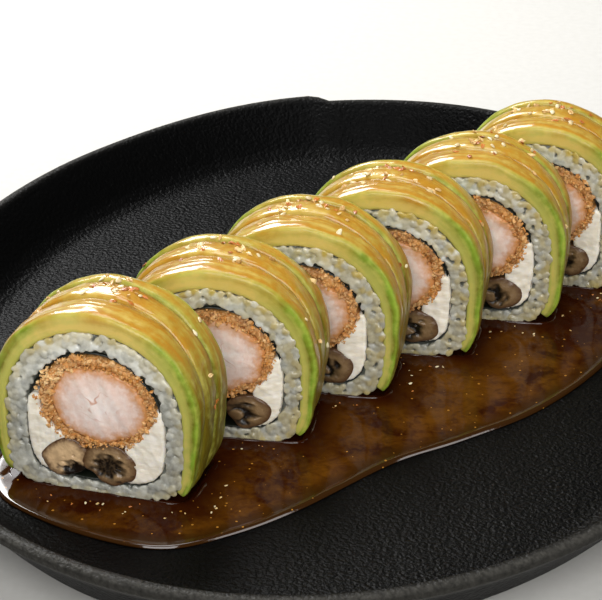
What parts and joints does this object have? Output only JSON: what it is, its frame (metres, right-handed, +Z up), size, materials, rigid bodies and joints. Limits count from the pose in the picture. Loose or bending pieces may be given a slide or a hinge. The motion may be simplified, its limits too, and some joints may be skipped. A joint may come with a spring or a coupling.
{
  "type": "plate of sliced avocado roll",
  "caption": "Oval black stoneware plate with a diagonal row of thick inside-out roll slices draped with avocado, standing in a shallow pool of amber sauce.",
  "frame": {"origin": "middle of the plate's flat underside, on the surface that it stands on", "axes": "+Y along the plate's long axis, towards its far end; +Z up"},
  "size_m": [0.2504, 0.3342, 0.0574],
  "materials": {
    "stoneware": "matt black glaze over a pebbled surface",
    "sauce": "glossy, slightly clear amber-brown sauce",
    "rice": "moist cooked grains",
    "seaweed": "moist dark sheet",
    "tempura": "crisp golden crumb round pale shrimp",
    "cream_cheese": "smooth cream with knife marks",
    "mushroom": "moist cooked mushroom",
    "avocado": "soft flesh under an amber glaze, with sesame"
  },
  "bodies": {
    "root": {"plate": "stoneware", "sauce": "sauce", "slice1_rice": "rice", "slice1_seaweed": "seaweed", "slice1_tempura_shrimp": "tempura", "slice1_mushroom_left": "mushroom", "slice1_mushroom_right": "mushroom", "slice1_cheese_left": "cream_cheese", "slice1_cheese_right": "cream_cheese", "slice1_avocado_front": "avocado", "slice1_avocado_middle": "avocado", "slice1_avocado_back": "avocado", "slice2_rice": "rice", "slice2_seaweed": "seaweed", "slice2_tempura_shrimp": "tempura", "slice2_mushroom_left": "mushroom", "slice2_mushroom_right": "mushroom", "slice2_cheese_left": "cream_cheese", "slice2_cheese_right": "cream_cheese", "slice2_avocado_front": "avocado", "slice2_avocado_middle": "avocado", "slice2_avocado_back": "avocado", "slice3_rice": "rice", "slice3_seaweed": "seaweed", "slice3_tempura_shrimp": "tempura", "slice3_mushroom_left": "mushroom", "slice3_mushroom_right": "mushroom", "slice3_cheese_left": "cream_cheese", "slice3_cheese_right": "cream_cheese", "slice3_avocado_front": "avocado", "slice3_avocado_middle": "avocado", "slice3_avocado_back": "avocado", "slice4_rice": "rice", "slice4_seaweed": "seaweed", "slice4_tempura_shrimp": "tempura", "slice4_mushroom_left": "mushroom", "slice4_mushroom_right": "mushroom", "slice4_cheese_left": "cream_cheese", "slice4_cheese_right": "cream_cheese", "slice4_avocado_front": "avocado", "slice4_avocado_middle": "avocado", "slice4_avocado_back": "avocado", "slice5_rice": "rice", "slice5_seaweed": "seaweed", "slice5_tempura_shrimp": "tempura", "slice5_mushroom_right": "mushroom", "slice5_cheese_left": "cream_cheese", "slice5_cheese_right": "cream_cheese", "slice5_avocado_front": "avocado", "slice5_avocado_middle": "avocado", "slice5_avocado_back": "avocado", "slice6_rice": "rice", "slice6_seaweed": "seaweed", "slice6_tempura_shrimp": "tempura", "slice6_mushroom_right": "mushroom", "slice6_cheese_left": "cream_cheese", "slice6_cheese_right": "cream_cheese", "slice6_avocado_front": "avocado", "slice6_avocado_middle": "avocado", "slice6_avocado_back": "avocado"}
  },
  "joints": []
}
